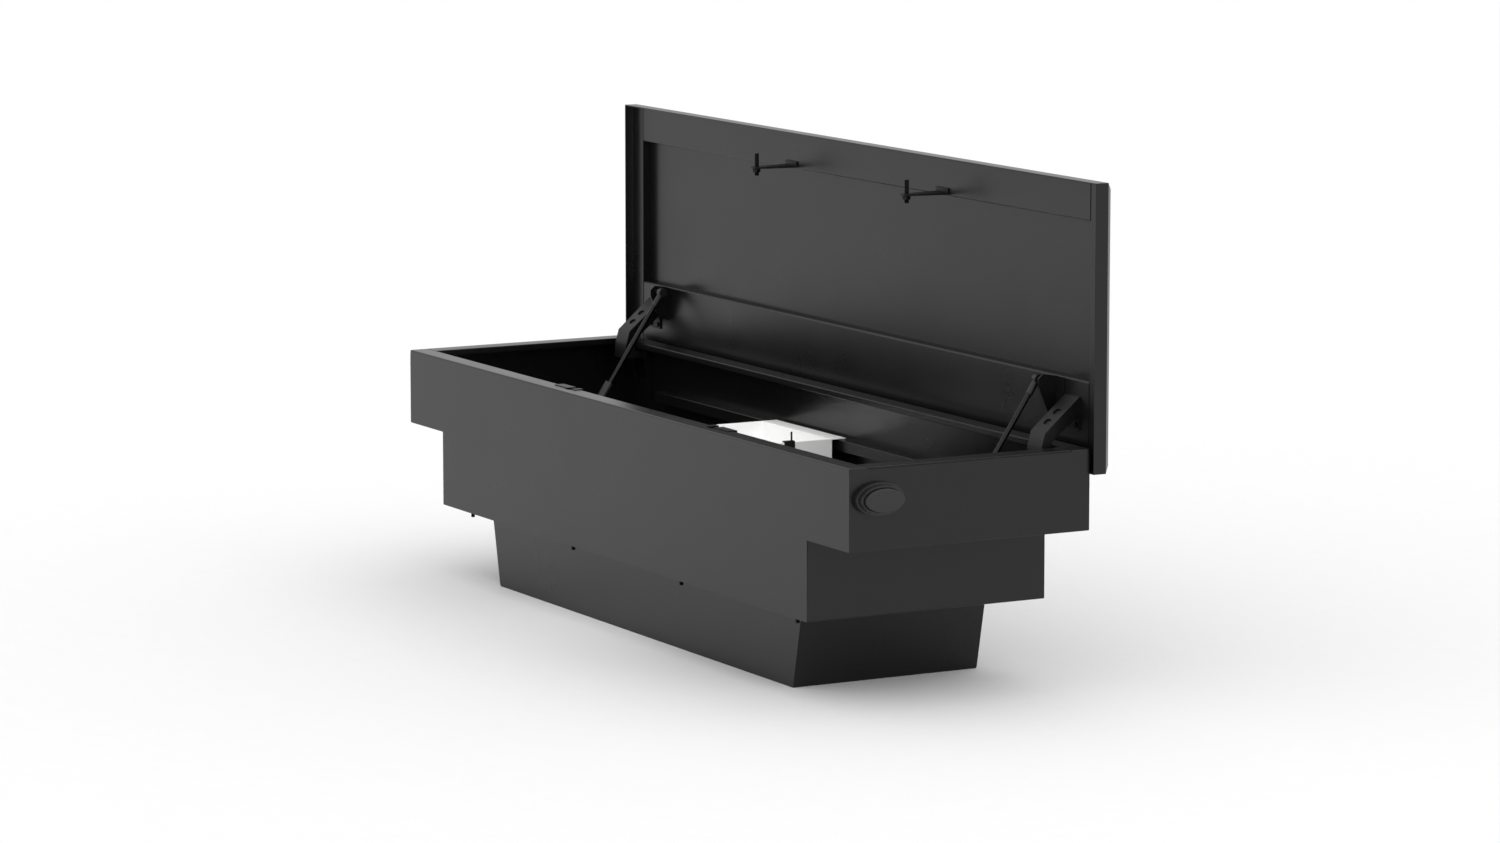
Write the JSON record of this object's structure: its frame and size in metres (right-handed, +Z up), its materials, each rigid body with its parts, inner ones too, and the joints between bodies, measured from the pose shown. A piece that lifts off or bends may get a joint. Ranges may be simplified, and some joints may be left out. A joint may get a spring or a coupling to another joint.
{
  "type": "crossover truck tool box",
  "caption": "Stepped crossover tool box for a pickup bed, with a hinged lid on gas struts, push-button latches and a sliding tray.",
  "frame": {"origin": "underside of the tub, at its plan centre", "axes": "+X along the box to its right end, +Y to the back, where the lid is hinged, +Z up"},
  "size_m": [1.84, 0.5338, 0.917],
  "materials": {
    "black_powder_coat": "fine-texture matt black powder coat on sheet steel",
    "white_powder_coat": "satin white powder coat",
    "black_button": "moulded, satin black",
    "strut_paint": "satin black enamel on tube",
    "strut_rod_steel": "black nitrided, ground",
    "black_fitting": "moulded, matt",
    "black_zinc_steel": "black zinc plate"
  },
  "bodies": {
    "box": {"front_panel": "black_powder_coat", "back_panel": "black_powder_coat", "end_wall_right": "black_powder_coat", "end_wall_left": "black_powder_coat", "end_rim_right": "black_powder_coat", "end_rim_left": "black_powder_coat", "shoulder_floor_right": "black_powder_coat", "shoulder_floor_left": "black_powder_coat", "middle_end_right": "black_powder_coat", "middle_end_left": "black_powder_coat", "ledge_front": "black_powder_coat", "ledge_back": "black_powder_coat", "tub_front_wall": "black_powder_coat", "tub_back_wall": "black_powder_coat", "tub_end_right": "black_powder_coat", "tub_end_left": "black_powder_coat", "tub_floor": "black_powder_coat", "tray_rail_back": "black_powder_coat", "tray_rail_front": "black_powder_coat", "mounting_studs": "black_zinc_steel", "hinge_bracket_right": "black_powder_coat", "hinge_bracket_left": "black_powder_coat", "hinge_pins": "black_zinc_steel", "strut_studs": "black_powder_coat", "latch_housing_right": "black_zinc_steel", "latch_housing_left": "black_zinc_steel", "lock_bezel_right": "black_button", "lock_bezel_left": "black_button", "rod_guides": "black_powder_coat"},
    "lid": {"lid_shell": "black_powder_coat", "lid_front_channel": "black_powder_coat", "lid_rear_channel": "black_powder_coat", "lid_side_rail_right": "black_powder_coat", "lid_side_rail_left": "black_powder_coat", "lid_screws": "black_zinc_steel", "hinge_arm_right": "black_powder_coat", "hinge_arm_left": "black_powder_coat", "striker_bracket_right": "black_zinc_steel", "striker_bracket_left": "black_zinc_steel", "striker_bolts": "black_zinc_steel", "strut_bracket_right": "black_powder_coat", "strut_bracket_left": "black_powder_coat"},
    "tray": {"tray": "white_powder_coat", "tray_pull": "black_fitting"},
    "strut_tube_right": {"strut_cylinder_right": "strut_paint"},
    "strut_piston_right": {"strut_rod_right": "strut_rod_steel", "strut_eye_right": "black_fitting"},
    "button_right": {"push_button_right": "black_button", "push_rod_right": "black_zinc_steel"},
    "claw_right": {"latch_claw_right": "black_zinc_steel"},
    "lever_right": {"release_lever_right": "black_zinc_steel"},
    "strut_tube_left": {"strut_cylinder_left": "strut_paint"},
    "strut_piston_left": {"strut_rod_left": "strut_rod_steel", "strut_eye_left": "black_fitting"},
    "button_left": {"push_button_left": "black_button", "push_rod_left": "black_zinc_steel"},
    "claw_left": {"latch_claw_left": "black_zinc_steel"},
    "lever_left": {"release_lever_left": "black_zinc_steel"}
  },
  "joints": [
    {"name": "lid_hinge", "type": "hinge", "parent": "box", "child": "lid", "pos_m": [0, 0.236, 0.4172], "axis": [1, 0, 0], "range_deg": [0, 90]},
    {"name": "strut_swing_right", "type": "hinge", "parent": "box", "child": "strut_tube_right", "pos_m": [0.722, -0.006, 0.183], "axis": [1, 0, 0], "range_deg": [0, 9.15]},
    {"name": "strut_stroke_right", "type": "slide", "parent": "strut_tube_right", "child": "strut_piston_right", "axis": [0, -0.5589, -0.8292], "range_m": [0, 0.1778]},
    {"name": "button_press_right", "type": "slide", "parent": "box", "child": "button_right", "axis": [-1, 0, 0], "range_m": [0, 0.008], "stiffness_N_per_m": 600, "springref_m": -0.004},
    {"name": "claw_turn_right", "type": "hinge", "parent": "box", "child": "claw_right", "pos_m": [0.367, -0.2115, 0.38], "axis": [0, -1, 0], "range_deg": [0, 90], "stiffness_Nm_per_rad": 0.1, "springref_deg": -28.65},
    {"name": "lever_swing_right", "type": "hinge", "parent": "box", "child": "lever_right", "pos_m": [0.393, -0.2115, 0.405], "axis": [0, 1, 0], "range_deg": [0, 25.6]},
    {"name": "strut_swing_left", "type": "hinge", "parent": "box", "child": "strut_tube_left", "pos_m": [-0.722, -0.006, 0.183], "axis": [1, 0, 0], "range_deg": [0, 9.15]},
    {"name": "strut_stroke_left", "type": "slide", "parent": "strut_tube_left", "child": "strut_piston_left", "axis": [0, -0.5589, -0.8292], "range_m": [0, 0.1778]},
    {"name": "button_press_left", "type": "slide", "parent": "box", "child": "button_left", "axis": [1, 0, 0], "range_m": [0, 0.008], "stiffness_N_per_m": 600, "springref_m": -0.004},
    {"name": "claw_turn_left", "type": "hinge", "parent": "box", "child": "claw_left", "pos_m": [-0.254, -0.2115, 0.38], "axis": [0, 1, 0], "range_deg": [0, 90], "stiffness_Nm_per_rad": 0.1, "springref_deg": -28.65},
    {"name": "lever_swing_left", "type": "hinge", "parent": "box", "child": "lever_left", "pos_m": [-0.28, -0.2115, 0.405], "axis": [0, -1, 0], "range_deg": [0, 25.6]},
    {"name": "tray_slide", "type": "slide", "parent": "box", "child": "tray", "axis": [1, 0, 0], "range_m": [-0.46, 0.66]}
  ],
  "couplings": [
    {"joint": "strut_swing_right", "follows": "lid_hinge", "ratio": 0.09949},
    {"joint": "strut_stroke_right", "follows": "lid_hinge", "m_per_rad": 0.11286},
    {"joint": "lever_swing_right", "follows": "button_press_right", "rad_per_m": 55.414},
    {"joint": "strut_swing_left", "follows": "lid_hinge", "ratio": 0.09949},
    {"joint": "strut_stroke_left", "follows": "lid_hinge", "m_per_rad": 0.11286},
    {"joint": "lever_swing_left", "follows": "button_press_left", "rad_per_m": 55.414}
  ]
}
